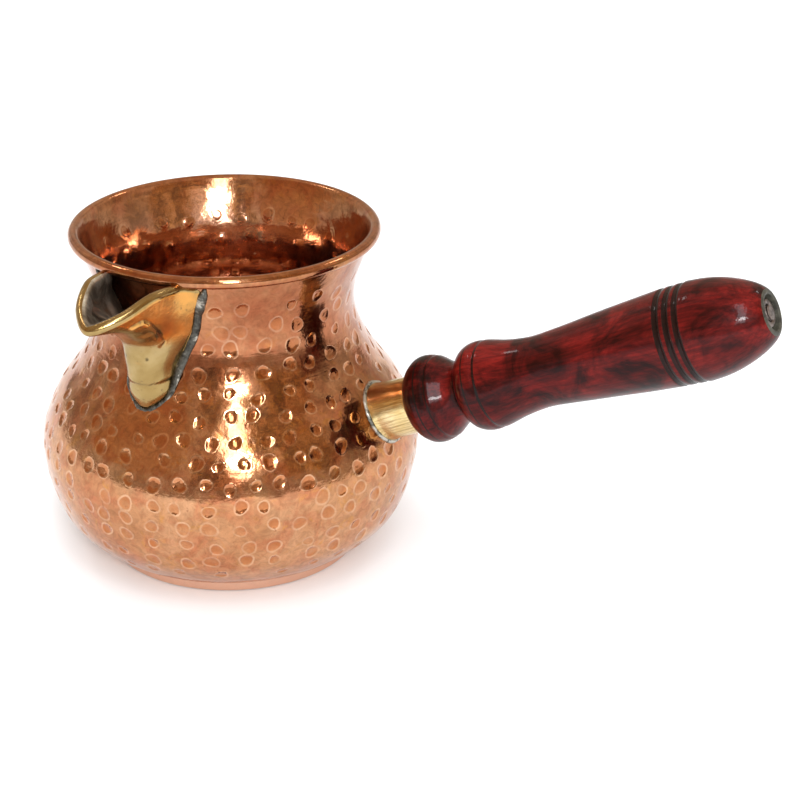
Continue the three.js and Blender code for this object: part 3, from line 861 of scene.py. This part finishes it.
def spout():
    """A cast brass beak: outside, rounded lip and tarnished inside in one closed mesh."""
    up, around = spout_grid()
    rows, columns = up.shape
    outside = spout_surface(up, around)
    normals = spout_normals(up, around)
    relief, crease, flare = spout_relief(outside)
    flare = flare * smoothstep(0.02, 0.07, around) * smoothstep(0.98, 0.93, around)
    outside = outside + normals * relief[..., None]
    share = np.linspace(0, 1, rows)[:, None]
    thickness = SPOUT_WALL + (LIP_THICKNESS - SPOUT_WALL) * smoothstep(0.8, 1.0, share)
    inside = outside - normals * thickness[..., None]
    lowest = wall_radius(inside[..., 2]) + 0.06
    level = np.hypot(inside[..., 0], inside[..., 1])
    push = np.maximum(lowest / level, 1)
    inside[..., :2] *= push[..., None]

    rise = unit(outside[-1] - outside[-3])
    middle = (outside[-1] + inside[-1]) / 2
    across = (outside[-1] - inside[-1]) / 2
    half = np.linalg.norm(across, axis=-1, keepdims=True)
    lip = [middle + across * math.cos(a) + rise * half * math.sin(a) for a in np.linspace(0, math.pi, 9)[1:-1]]
    stack = np.concatenate([outside, np.array(lip), inside[::-1]])
    vertices = turned_spout(stack).reshape(-1, 3)
    faces = grid_faces(len(stack), columns)
    dark = [i // (columns - 1) >= rows + 5 for i in range(len(faces))]
    # The seam: the outside's first row meets the inside's last row, and the two ends close.
    last = (len(stack) - 1) * columns
    for j in range(columns - 1):
        faces.append((last + j, last + j + 1, j + 1, j))
        dark.append(True)
    for column, flip in ((0, False), (columns - 1, True)):
        loop = [i * columns + column for i in range(len(stack))]
        count = len(loop)
        for i in range(count // 2):
            a, b, c, d = loop[i], loop[i + 1], loop[count - 2 - i], loop[count - 1 - i]
            corners = (a, b, c, d) if b != c else (a, b, d)
            faces.append(corners[::-1] if flip else corners)
            dark.append(False)
    outer = {"crease": crease, "flare": flare}
    attributes = {key: np.append(values.ravel(), np.zeros(len(vertices) - values.size)) for key, values in outer.items()}
    return make_object("brass_spout", vertices, [f[::-1] for f in faces], [MATERIALS["brass"], MATERIALS["tarnish"]],
                       "spout", material_index=[int(d) for d in dark], attributes=attributes)


def solder_bead(name, path, out_a, out_b, size, seed, closed, node, material, scale=1.0):
    """A lumpy bead along a seam. out_a and out_b are the directions of the two walls that it joins,
    and scale narrows the bead along its way."""
    draw = np.random.default_rng(seed)
    count, sides = len(path), 14
    along = np.gradient(path, axis=0)
    if closed:
        along = np.roll(path, -1, axis=0) - np.roll(path, 1, axis=0)
    along = unit(along)
    centre_way = unit(out_a + out_b)
    side_way = unit(np.cross(along, centre_way))
    where = np.arange(count) / count
    lumps = np.full(count, 1.0)
    for turns in (5, 9, 14, 22, 35, 52):
        if not closed:
            turns *= 0.7
        lumps += 0.6 / turns ** 0.5 * 0.35 * np.sin(2 * math.pi * (turns * where + draw.uniform()))
    if not closed:
        ends = np.minimum(1, np.minimum(np.arange(count), np.arange(count)[::-1]) / 3 + 0.15)
        lumps *= ends
    lumps *= scale
    ring = np.linspace(0, 2 * math.pi, sides, endpoint=False)
    wide, tall = size
    rows = []
    for angle in ring:
        rows.append(path + centre_way * (tall * lumps * (0.25 + math.sin(angle) * 0.75))[:, None]
                    + side_way * (wide * lumps * math.cos(angle))[:, None])
    vertices = np.stack(rows, 1).reshape(-1, 3)
    faces = grid_faces(count, sides, closed, True)
    if not closed:
        faces.append(tuple(range(sides))[::-1])
        faces.append(tuple((count - 1) * sides + k for k in range(sides)))
    return make_object(name, vertices, faces, material, node)


def spout_solder():
    """Solder down one edge of the spout, round its tail and up the other edge."""
    up, around = spout_grid()
    side = np.linspace(1.0, up[0, 0], 42)[:-1]
    up = np.concatenate([side, up[0], side[::-1]])
    around = np.concatenate([np.full(len(side), around[0, 0]), around[0], np.full(len(side), around[0, -1])])
    seam = spout_surface(up, around)
    beyond = np.array([2.4, 1.2])[:, None]
    first = seam[0] + beyond * unit(seam[0] - seam[1])
    last = seam[-1] + beyond[::-1] * unit(seam[-1] - seam[-2])
    seam = np.concatenate([first, seam, last])
    level = np.hypot(seam[:, 0], seam[:, 1])
    onto_wall = (wall_radius(seam[:, 2]) + 0.1) / level
    path = seam * np.stack([onto_wall, onto_wall, np.ones_like(onto_wall)], -1)
    wall = unit(path * np.array([1, 1, 0]))
    away = unit(np.cross(np.gradient(path, axis=0), wall))
    away *= np.sign(np.sum(away * (path - np.array([40, 0, 74])), -1))[:, None]
    scale = 0.55 + 0.45 * smoothstep(58, 66, path[:, 2])
    path = path + away * (0.75 * scale)[:, None]
    return solder_bead("spout_solder_bead", turned_spout(path), turned_spout(wall), turned_spout(wall), (1.2, 0.75), 3,
                       False, "spout_solder", MATERIALS["solder"], scale)


# ---- The ferrule ----

def ferrule_radius(t):
    return np.interp(t, [44, FERRULE_END], [FERRULE_BASE, FERRULE_FRONT])


def ferrule_seam(angles, inset):
    """Distance along the handle where the ferrule's outside, or a wall inset from it, meets the pot."""
    places = np.linspace(44, FERRULE_END, 400)
    seam = []
    for angle in angles:
        radius = ferrule_radius(places) - inset
        line = on_handle(np.stack([radius * math.cos(angle), radius * math.sin(angle), places], -1))
        seam.append(crossing(body_depth(line), places))
    return np.array(seam)


def ferrule():
    """A short brass tube cut to the pot's wall, slightly flared where it is soldered."""
    count = 160
    angles = np.linspace(0, 2 * math.pi, count, endpoint=False)
    base_out = ferrule_seam(angles, 0)
    base_in = ferrule_seam(angles, FERRULE_WALL) + 0.05
    end = FERRULE_END
    rows = []

    def row(radius, t):
        radius = np.broadcast_to(radius, angles.shape)
        rows.append(np.stack([radius * np.cos(angles), radius * np.sin(angles), np.broadcast_to(t, angles.shape)], -1))

    for share in np.linspace(0, 1, 16):
        t = base_out + (end - 0.5 - base_out) * share
        flare = 0.35 * np.exp(-((t - base_out) / 0.9) ** 2)
        row(ferrule_radius(t) + flare, t)
    for angle in np.linspace(0, math.pi / 2, 5)[1:]:
        row(FERRULE_FRONT - 0.35 + 0.35 * math.cos(angle), end - 0.35 + 0.35 * math.sin(angle))
    row(FERRULE_FRONT - FERRULE_WALL, end)
    for share in np.linspace(1, 0, 8)[1:]:
        t = base_in + (end - base_in) * share
        row(ferrule_radius(t) - FERRULE_WALL, t)
    vertices = on_handle(np.array(rows)).reshape(-1, 3)
    faces = grid_faces(len(rows), count, True, True)
    return make_object("brass_ferrule", vertices, faces, MATERIALS["turned_brass"], "ferrule")


def ferrule_solder():
    count = 200
    angles = np.linspace(0, 2 * math.pi, count, endpoint=False)
    t = ferrule_seam(angles, -0.3)
    radius = ferrule_radius(t) + 0.3
    path = on_handle(np.stack([radius * np.cos(angles), radius * np.sin(angles), t], -1))
    out = on_handle(np.stack([np.cos(angles), np.sin(angles), np.zeros(count)], -1)) - np.array([0, 0, HANDLE_HEIGHT])
    wall = unit(path * np.array([1, 1, 0]))
    return solder_bead("ferrule_solder_bead", path, wall, out, (0.6, 0.55), 5, True, "ferrule_solder",
                       MATERIALS["worn_solder"])


# ---- The handle ----

def lathe_on_handle(name, profile, count, material, node, wobble_size=0.0, material_rows=None):
    """A closed profile of (radius, distance along the handle) turned about the handle's axis."""
    angles = np.linspace(0, 2 * math.pi, count, endpoint=False)
    points = ring_points(profile, angles)
    if wobble_size:
        x, y, t = points[..., 0], points[..., 1], points[..., 2]
        turn = np.arctan2(y, x)
        uneven = wobble_size * (np.sin(2 * turn + 0.07 * t) + 0.6 * np.sin(3 * turn - 0.11 * t + 1.0)
                                + 0.4 * np.sin(0.35 * t + turn))
        scale = 1 + uneven / np.maximum(np.hypot(x, y), 1)
        points[..., 0] *= scale
        points[..., 1] *= scale
    vertices = on_handle(points).reshape(-1, 3)
    faces = [f for f in grid_faces(len(profile), count, True, True)]
    index = None
    if material_rows is not None:
        index = [material_rows[i // count] for i in range(len(faces))]
    return make_object(name, vertices, faces, material, node, material_index=index)


def grip():
    """The turned handle: tenon, two beads, swell, three grooves, butt with a recess, bore. The grooves and
    two fine lines get near black painted shade.
    """
    outline = [(BORE, TENON_START), (TENON_RADIUS - 0.4, TENON_START), (TENON_RADIUS, TENON_START + 0.4),
               (TENON_RADIUS, 62.9), (TENON_RADIUS + 0.4, 63.2)]
    kinds = [0] * len(outline)
    for run in TURNED_RUNS:
        points = sampled(run, 0.45)
        outline.extend(map(tuple, points))
        kinds.extend([0] * len(points))
    # These rings get the near black groove material, painted shade; at 68.3 and 83.2 they are fine lines with no groove
    # in the mesh.
    grooves = (68.3, 71.3, 79.3, 83.2, 86.6, 140.6, 143.4, 146.1)
    widths = (0.22, 0.3, 0.7, 0.22, 0.45, 0.8, 0.8, 0.8)
    for k, (radius, t) in enumerate(outline):
        for groove, width in zip(grooves, widths):
            if abs(t - groove) < width and radius > 8:
                kinds[k] = 1
    recess = [(RECESS_RADIUS + 0.1, BUTT - 0.15), (RECESS_RADIUS, BUTT - 0.5), (RECESS_RADIUS, RECESS_START + 0.3),
              (RECESS_RADIUS - 0.3, RECESS_START), (BORE, RECESS_START)]
    outline.extend(recess)
    kinds.extend([2] * len(recess))
    kinds = [2 if t > BUTT - 0.6 and k == 0 else k for k, (_, t) in zip(kinds, outline)]
    bore = [(BORE, t) for t in np.linspace(RECESS_START, TENON_START, 24)[1:-1]]
    outline.extend(bore)
    kinds.extend([0] * len(bore))
    return lathe_on_handle("wooden_grip", np.array(outline), 144,
                           [MATERIALS["wood"], MATERIALS["groove"], MATERIALS["end_grain"]],
                           "handle_grip", 0.05, kinds)


def washer():
    low, high = 163.4, 164.0
    outline = [(2.3, low), (4.25, low), (4.4, low + 0.15), (4.4, high - 0.2), (4.25, high), (2.45, high),
               (2.3, high - 0.1)]
    return lathe_on_handle("nut_washer", np.array(outline), 64, MATERIALS["steel"], "butt_washer")


def nut():
    """A hexagon nut with chamfered corners."""
    count = 96
    angles = np.linspace(0, 2 * math.pi, count, endpoint=False)
    flat = 3.5 / np.cos((angles + math.pi / 6) % (math.pi / 3) - math.pi / 6)
    low, high = 164.3, 166.1
    rows = []
    for cap, t in ((3.4, low), (3.7, low + 0.15), (4.04, low + 0.5), (4.04, high - 0.5), (3.8, high - 0.15), (3.4, high)):
        rows.append((np.minimum(flat, cap), t))
    rows.append((np.full(count, 2.55), high))
    rows.append((np.full(count, 2.3), high - 0.25))
    rows.append((np.full(count, 2.3), low + 0.25))
    rows.append((np.full(count, 2.55), low))
    points = np.array([np.stack([r * np.cos(angles), r * np.sin(angles), np.full(count, t)], -1) for r, t in rows])
    vertices = on_handle(points).reshape(-1, 3)
    return make_object("rod_nut", vertices, grid_faces(len(rows), count, True, True), MATERIALS["steel"],
                       "butt_nut")


def rod():
    """The tie rod, with a thread at each end."""
    count, pitch, depth = 24, 0.7, 0.22
    angles = np.linspace(0, 2 * math.pi, count, endpoint=False)
    start, end = 55.6, 166.6
    stations = np.concatenate([np.arange(start, start + 8, pitch / 6), np.linspace(start + 8.2, end - 9, 12),
                               np.arange(end - 8.8, end - 0.05, pitch / 6)])
    rows = [np.stack([1.5 * np.cos(angles), 1.5 * np.sin(angles), np.full(count, start)], -1)]
    for t in stations:
        threaded = t < start + 8 or t > end - 8.9
        phase = (t / pitch - angles / (2 * math.pi)) % 1
        radius = ROD_RADIUS - (depth * (1 - np.abs(2 * phase - 1)) if threaded else 0)
        radius = np.broadcast_to(radius, angles.shape)
        rows.append(np.stack([radius * np.cos(angles), radius * np.sin(angles), np.full(count, t)], -1))
    rows.append(np.stack([1.5 * np.cos(angles), 1.5 * np.sin(angles), np.full(count, end)], -1))
    vertices = on_handle(np.array(rows)).reshape(-1, 3)
    faces = grid_faces(len(rows), count, False, True)
    faces.append(tuple(range(count))[::-1])
    faces.append(tuple((len(rows) - 1) * count + k for k in range(count)))
    return make_object("threaded_rod", vertices, faces, MATERIALS["steel"], "tie_rod")


def plug():
    low, high = 55.5, 57.5
    outline = [(2.3, low), (6.4, low), (6.6, low + 0.2), (6.6, high - 0.2), (6.4, high), (2.5, high), (2.3, high - 0.2)]
    return lathe_on_handle("ferrule_plug", np.array(outline), 64, MATERIALS["turned_brass"], "anchor_plug")


# ---- Camera, floor and light ----

VIEW_TURN = math.radians(23.8)
VIEW_DROP = math.radians(24.44)


def camera():
    data = bpy.data.cameras.new("camera")
    data.lens = 100.5
    data.sensor_width = 36.0
    obj = bpy.data.objects.new("camera", data)
    obj.location = (0.2746, -0.5045, 0.3017)
    obj.rotation_euler = (math.pi / 2 - VIEW_DROP, 0, VIEW_TURN)
    bpy.context.scene.collection.objects.link(obj)
    bpy.context.scene.camera = obj


def floor():
    size = 6.0
    mesh = bpy.data.meshes.new("floor")
    z = -0.0003
    mesh.from_pydata([(-size, -size, z), (size, -size, z), (size, size, z), (-size, size, z)], [], [(0, 1, 2, 3)])
    mesh.materials.append(floor_material())
    obj = bpy.data.objects.new("floor", mesh)
    bpy.context.scene.collection.objects.link(obj)


def toward(azimuth, elevation):
    """A direction, by degrees right of straight back to the camera and degrees up."""
    a, e = math.radians(azimuth), math.radians(elevation)
    x, y = math.sin(a) * math.cos(e), -math.cos(a) * math.cos(e)
    c, s = math.cos(VIEW_TURN), math.sin(VIEW_TURN)
    return Vector((c * x - s * y, s * x + c * y, math.sin(e)))


def area_light(name, azimuth, elevation, distance, size, radiance, colour=(1, 1, 1)):
    """A rectangular light that faces the pot. size is (width, height) in metres."""
    data = bpy.data.lights.new(name, "AREA")
    data.shape = "RECTANGLE"
    data.size, data.size_y = size
    data.energy = radiance * math.pi * size[0] * size[1]
    data.color = colour
    obj = bpy.data.objects.new(name, data)
    way = toward(azimuth, elevation)
    obj.location = Vector((0, 0, 0.05)) + way * distance
    obj.rotation_euler = way.to_track_quat("Z", "Y").to_euler()
    bpy.context.scene.collection.objects.link(obj)
    return obj


class Sky:
    """The studio's surroundings, built from nodes on the direction looked in."""

    def __init__(self):
        self.world = bpy.data.worlds.new("studio")
        self.world.use_nodes = True
        self.tree = self.world.node_tree
        self.tree.nodes.clear()
        coords = self.add("ShaderNodeTexCoord").outputs["Generated"]
        turn = self.add("ShaderNodeMapping", vector_type="TEXTURE")
        turn.inputs["Rotation"].default_value = (0, 0, VIEW_TURN)
        self.join(coords, turn.inputs["Vector"])
        self.direction = turn.outputs["Vector"]
        split = self.add("ShaderNodeSeparateXYZ")
        self.join(self.direction, split.inputs["Vector"])
        back = self.math("MULTIPLY", split.outputs["Y"], -1.0)
        self.azimuth = self.math("ARCTAN2", split.outputs["X"], back)
        self.elevation = self.math("ARCSINE", split.outputs["Z"])

    def add(self, kind, **settings):
        node = self.tree.nodes.new(kind)
        for key, value in settings.items():
            setattr(node, key, value)
        return node

    def join(self, output, socket):
        self.tree.links.new(output, socket)

    def put(self, value, socket):
        if isinstance(value, bpy.types.NodeSocket):
            self.join(value, socket)
        else:
            socket.default_value = value

    def math(self, operation, a, b=0.0):
        node = self.add("ShaderNodeMath", operation=operation)
        self.put(a, node.inputs[0])
        self.put(b, node.inputs[1])
        return node.outputs[0]

    def noise(self, scale, detail=2.0):
        node = self.add("ShaderNodeTexNoise")
        node.inputs["Scale"].default_value = scale
        node.inputs["Detail"].default_value = detail
        self.join(self.direction, node.inputs["Vector"])
        return node.outputs["Fac"]

    def ramp(self, factor, stops, interpolation="LINEAR"):
        node = self.add("ShaderNodeValToRGB")
        node.color_ramp.interpolation = interpolation
        elements = node.color_ramp.elements
        while len(elements) < len(stops):
            elements.new(0.5)
        for element, (position, colour) in zip(elements, stops):
            element.position = position
            element.color = (*colour, 1)
        self.join(factor, node.inputs["Fac"])
        return node.outputs["Color"]

    def mix(self, factor, a, b, blend="MIX"):
        node = self.add("ShaderNodeMix", data_type="RGBA", blend_type=blend)
        for socket, value in ((0, factor), (6, a), (7, b)):
            self.put((*value, 1) if isinstance(value, tuple) else value, node.inputs[socket])
        return node.outputs[2]

    def within(self, value, low, high, soft):
        """1 between two angles in degrees, falling to 0 outside them."""
        low, high, soft = (math.radians(v) for v in (low, high, soft))
        rise = self.add("ShaderNodeMapRange", interpolation_type="SMOOTHSTEP")
        self.join(value, rise.inputs["Value"])
        rise.inputs["From Min"].default_value = low - soft
        rise.inputs["From Max"].default_value = low + soft
        fall = self.add("ShaderNodeMapRange", interpolation_type="SMOOTHSTEP")
        self.join(value, fall.inputs["Value"])
        fall.inputs["From Min"].default_value = high + soft
        fall.inputs["From Max"].default_value = high - soft
        return self.math("MULTIPLY", rise.outputs["Result"], fall.outputs["Result"])

    def patch(self, azimuths, elevations, soft):
        across = self.within(self.azimuth, *azimuths, soft)
        up = self.within(self.elevation, *elevations, soft)
        return self.math("MULTIPLY", across, up)

    def finish(self, mirrored, plain, strength):
        """Glossy rays see the mirrored colour, all others the plain one."""
        seen = self.add("ShaderNodeBackground")
        self.join(mirrored, seen.inputs["Color"])
        white = self.add("ShaderNodeBackground")
        white.inputs["Color"].default_value = (*plain, 1)
        white.inputs["Strength"].default_value = strength
        path = self.add("ShaderNodeLightPath")
        mix = self.add("ShaderNodeMixShader")
        self.join(path.outputs["Is Glossy Ray"], mix.inputs["Fac"])
        self.join(white.outputs["Background"], mix.inputs[1])
        self.join(seen.outputs["Background"], mix.inputs[2])
        out = self.add("ShaderNodeOutputWorld")
        self.join(mix.outputs["Shader"], out.inputs["Surface"])
        bpy.context.scene.world = self.world


def world():
    """A soft white tent. What polished metal mirrors is the room beyond it: pale low down, dim and
    brown above, darkest behind the camera."""
    sky = Sky()
    height = sky.math("DIVIDE", sky.elevation, math.pi / 2)
    room = sky.ramp(height, [(0.08, (0.82, 0.79, 0.74)), (0.14, (0.80, 0.72, 0.63)), (0.5, (0.98, 0.82, 0.67)),
                             (0.8, (0.90, 0.75, 0.62))])
    clutter = sky.ramp(sky.noise(5.5, 5.0), [(0.36, (0.42, 0.36, 0.30)), (0.5, (0.8, 0.72, 0.62)), (0.66, (1, 1, 1))])
    room = sky.mix(0.85, room, clutter, "MULTIPLY")
    room = sky.mix(sky.patch((-95, -28), (11, 62), 5), room, (0.56, 0.33, 0.18))
    dim = sky.ramp(sky.noise(10.0, 5.0), [(0.36, (0.12, 0.09, 0.075)), (0.47, (0.31, 0.21, 0.13)),
                                          (0.55, (0.68, 0.38, 0.14)), (0.64, (1.05, 0.84, 0.58))])
    room = sky.mix(sky.patch((-22, 72), (11, 57), 1.5), room, dim)
    gold = sky.math("MULTIPLY", sky.patch((-80, 60), (12, 60), 6), sky.ramp(sky.noise(13.0, 3.0), [
        (0.63, (0, 0, 0)), (0.68, (1, 1, 1))]))
    room = sky.mix(gold, room, (1.1, 0.75, 0.32))
    glint = sky.math("MULTIPLY", sky.patch((0, 34), (15, 36), 4), sky.ramp(sky.noise(17.0, 4.0), [
        (0.54, (0, 0, 0)), (0.6, (1, 1, 1))]))
    room = sky.mix(glint, room, (1.7, 1.6, 1.6))
    sky.finish(room, (1, 1, 1), 1.2)


MATERIALS = {
    "copper": copper_material(),
    "brass": brass_material(),
    "turned_brass": turned_brass_material(),
    "tarnish": tarnish_material(),
    "solder": solder_material("solder", 0.68),
    "worn_solder": solder_material("worn_solder", 0.52),
    "steel": steel_material(),
    "wood": wood_material("lacquered_wood", 0.0),
    "groove": wood_material("shaded_groove", 0.9),
    "end_grain": end_grain_material(),
}

camera()
floor()
world()
area_light("strip", 8, 43, 1.2, (0.2, 1.1), 9, (0.84, 0.92, 1.0))
area_light("flash", 9, 28, 1.1, (0.15, 0.11), 60)
area_light("side", -130, 50, 1.3, (0.12, 0.12), 14)
area_light("other_side", 128, 48, 1.3, (0.1, 0.14), 14)
area_light("overhead", 0, 89, 1.5, (0.8, 0.8), 0.6).visible_glossy = False

copper_pot()
rim_wire()
spout()
spout_solder()
ferrule()
ferrule_solder()
grip()
washer()
nut()
rod()
plug()

bpy.context.scene.view_settings.view_transform = "Standard"
